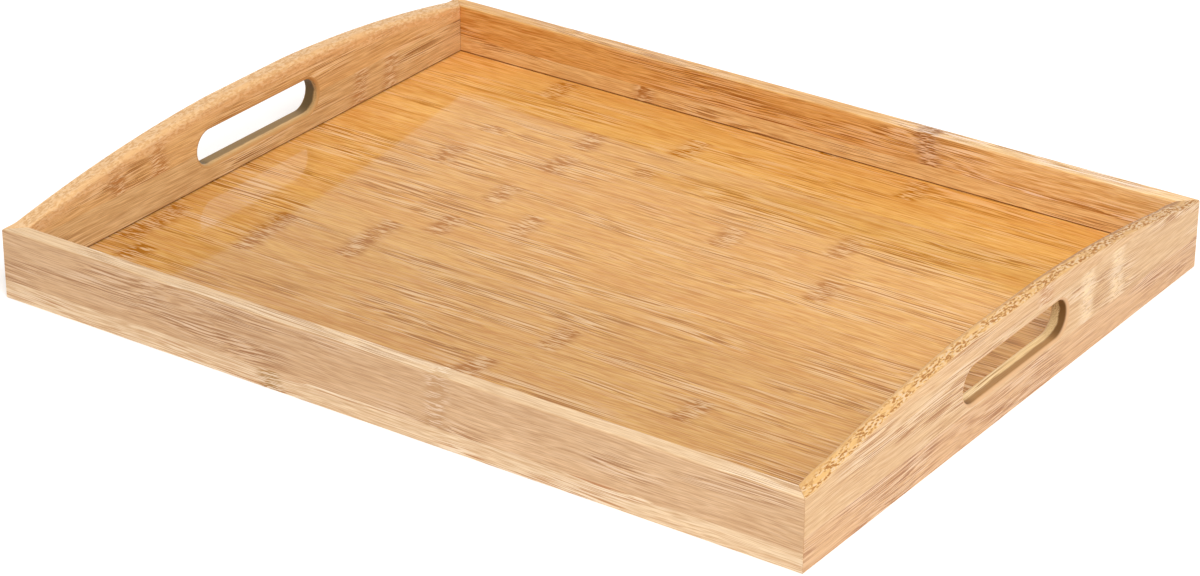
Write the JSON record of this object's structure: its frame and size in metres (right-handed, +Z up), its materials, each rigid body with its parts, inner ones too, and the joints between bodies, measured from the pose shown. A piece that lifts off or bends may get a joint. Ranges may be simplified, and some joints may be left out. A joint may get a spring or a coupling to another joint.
{
  "type": "serving tray",
  "caption": "Rectangular bamboo serving tray with low mitred rails, arched handle boards with hand slots, and a laminated strip floor.",
  "frame": {"origin": "centre of the underside, in the plane that the tray stands on", "axes": "+X along the tray from the left handle to the right handle, +Y across it towards the rear rail, +Z up"},
  "size_m": [0.44, 0.352, 0.051],
  "materials": {
    "rail_tan": "satin",
    "rail_cream": "satin",
    "rail_brown": "satin",
    "handle_gold": "satin",
    "handle_pale": "satin",
    "handle_crown": "satin",
    "floor_bamboo": "gloss",
    "spline_bamboo": "matte"
  },
  "bodies": {
    "root": {"front_rail_lower_strip": "rail_cream", "front_rail_upper_strip": "rail_tan", "rear_rail_lower_strip": "rail_brown", "rear_rail_upper_strip": "rail_brown", "left_handle_lower_strip": "handle_gold", "left_handle_upper_strip": "handle_gold", "right_handle_lower_strip": "handle_pale", "right_handle_middle_strip": "handle_pale", "right_handle_upper_strip": "handle_crown", "front_left_corner_spline": "spline_bamboo", "front_right_corner_spline": "spline_bamboo", "rear_left_corner_spline": "spline_bamboo", "rear_right_corner_spline": "spline_bamboo", "floor_strip_01": "floor_bamboo", "floor_strip_02": "floor_bamboo", "floor_strip_03": "floor_bamboo", "floor_strip_04": "floor_bamboo", "floor_strip_05": "floor_bamboo", "floor_strip_06": "floor_bamboo", "floor_strip_07": "floor_bamboo", "floor_strip_08": "floor_bamboo", "floor_strip_09": "floor_bamboo", "floor_strip_10": "floor_bamboo", "floor_strip_11": "floor_bamboo", "floor_strip_12": "floor_bamboo", "floor_strip_13": "floor_bamboo", "floor_strip_14": "floor_bamboo", "floor_strip_15": "floor_bamboo", "floor_strip_16": "floor_bamboo", "floor_strip_17": "floor_bamboo"}
  },
  "joints": []
}
